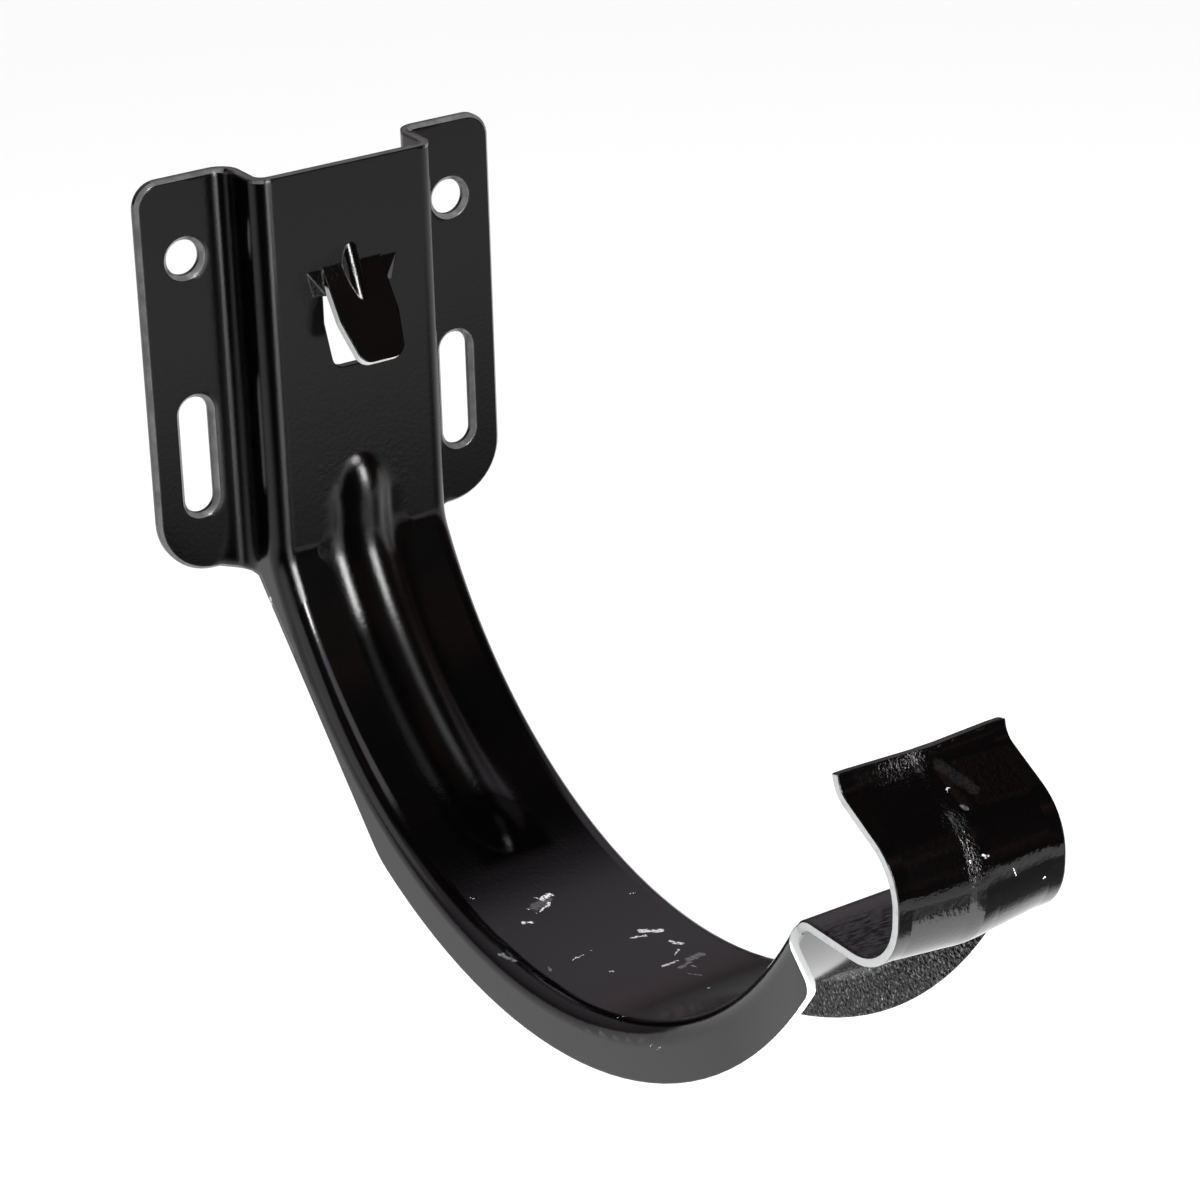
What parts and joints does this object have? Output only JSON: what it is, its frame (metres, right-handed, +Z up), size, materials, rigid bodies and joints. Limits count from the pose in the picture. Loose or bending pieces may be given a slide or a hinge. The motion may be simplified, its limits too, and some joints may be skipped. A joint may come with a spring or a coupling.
{
  "type": "gutter bracket",
  "caption": "One-piece pressed sheet bracket that screws to a fascia board and carries a half-round gutter, with a hook for the gutter's front edge.",
  "frame": {"origin": "on the wall face, midway between the two round fixing holes", "axes": "+X along the wall and along the gutter, +Y into the wall, so the arm reaches toward -Y, +Z up"},
  "size_m": [0.053, 0.1409, 0.0958],
  "materials": {
    "coated_sheet": "gloss black coating"
  },
  "bodies": {
    "root": {"gutter_bracket": "coated_sheet"}
  },
  "joints": []
}
